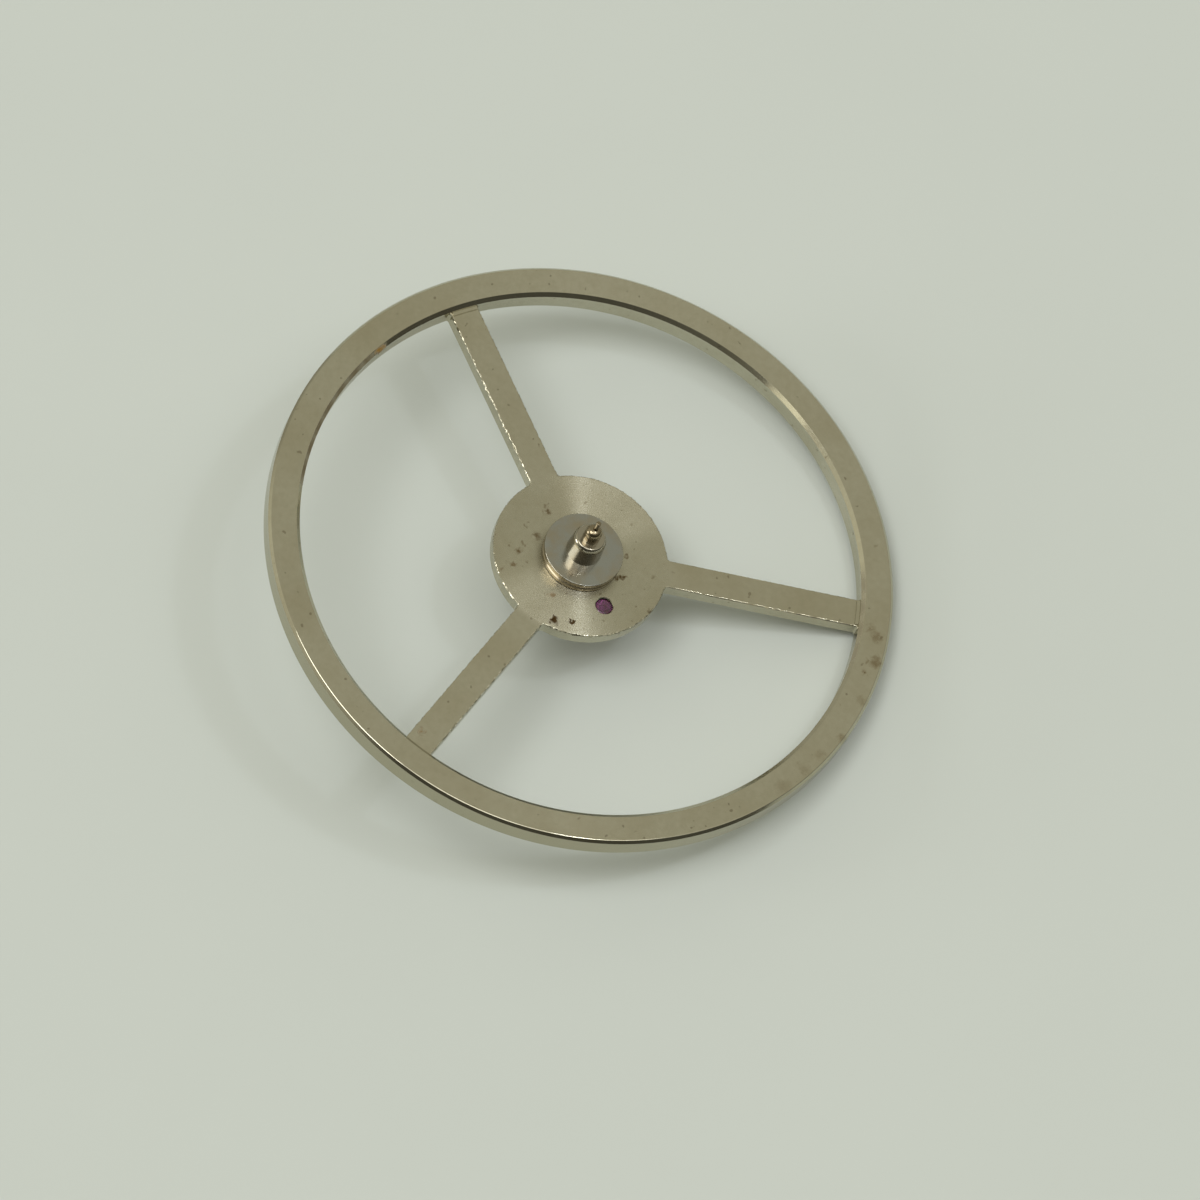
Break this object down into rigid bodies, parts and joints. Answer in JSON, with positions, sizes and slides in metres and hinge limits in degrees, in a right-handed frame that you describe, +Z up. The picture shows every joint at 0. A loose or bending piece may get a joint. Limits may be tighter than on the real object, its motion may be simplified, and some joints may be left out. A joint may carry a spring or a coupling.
{
  "type": "watch balance wheel",
  "caption": "Watch balance wheel: a plain ring rim on straight arms, with its pivoted staff, round impulse jewel and safety roller.",
  "frame": {"origin": "tip of the lower pivot, on the staff's axis", "axes": "+Z up the staff towards the hairspring's end; +Y along one arm"},
  "size_m": [0.01, 0.01, 0.0027],
  "materials": {
    "wheel_alloy": "fine circular turning on rim and hub, grained arms, bright broken edges",
    "staff_steel": "hardened and polished nearly black",
    "roller_steel": "polished faces, fine turned edge",
    "ruby": "polished synthetic ruby"
  },
  "bodies": {
    "root": {"balance_wheel": "wheel_alloy", "balance_staff": "staff_steel", "impulse_jewel": "ruby", "safety_roller": "roller_steel"}
  },
  "joints": []
}
